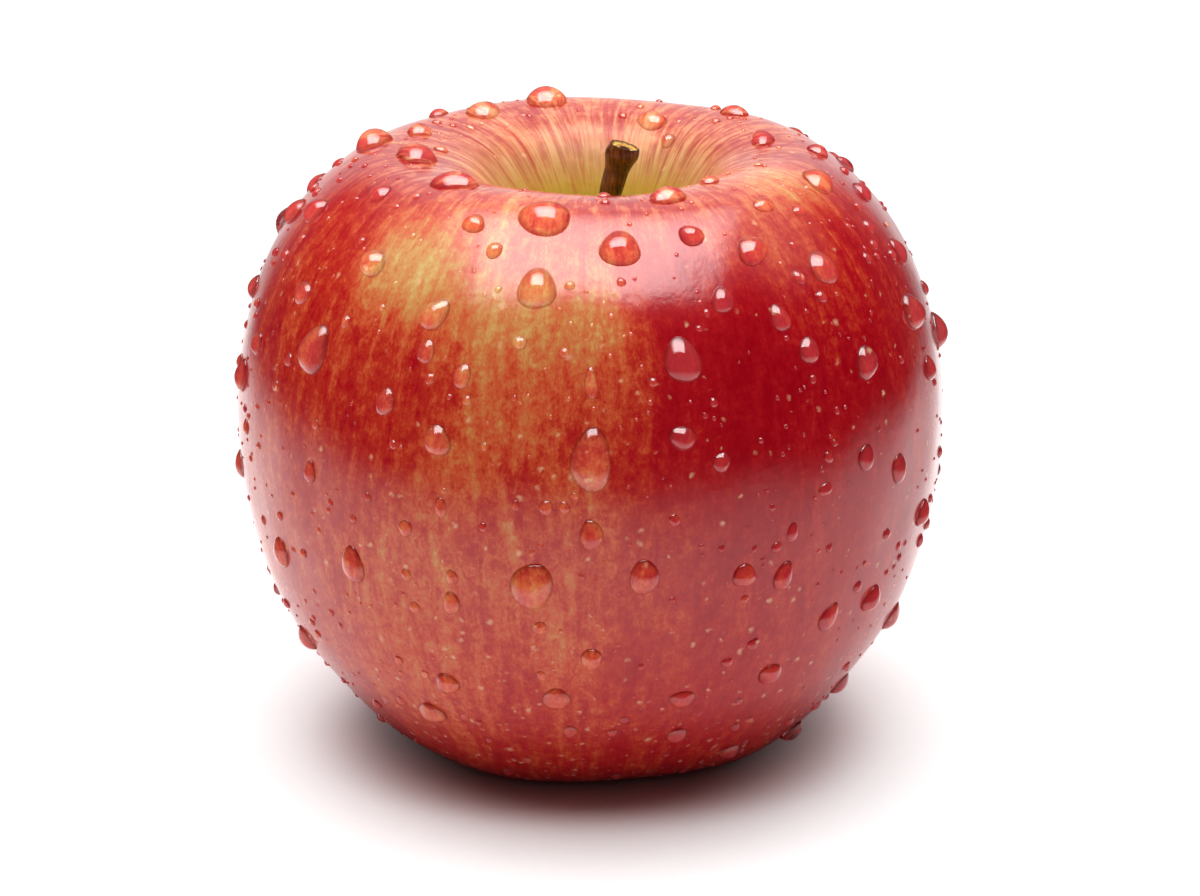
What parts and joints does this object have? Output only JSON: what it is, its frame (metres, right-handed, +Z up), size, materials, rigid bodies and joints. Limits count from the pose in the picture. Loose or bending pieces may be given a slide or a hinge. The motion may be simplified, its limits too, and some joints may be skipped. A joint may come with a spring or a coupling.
{
  "type": "apple",
  "caption": "Whole round apple with a short woody stem leaning in a deep cavity and dried sepals in a basin underneath; it stands on the lobes of its base.",
  "frame": {"origin": "on the resting plane, under the middle of the fruit", "axes": "+Z up along the core, from the calyx to the stem; +X towards the side that the stem leans to; -Y is the front"},
  "size_m": [0.0798, 0.0799, 0.0675],
  "materials": {
    "skin": "waxy ripe skin, glossy",
    "bark": "dark smooth bark, semi-gloss",
    "sepals": "dry thin leaf, matte",
    "water": "clear wet drops"
  },
  "bodies": {
    "root": {"fruit": "skin", "stem": "bark", "sepal_1": "sepals", "sepal_2": "sepals", "sepal_3": "sepals", "sepal_4": "sepals", "sepal_5": "sepals"}
  },
  "joints": []
}
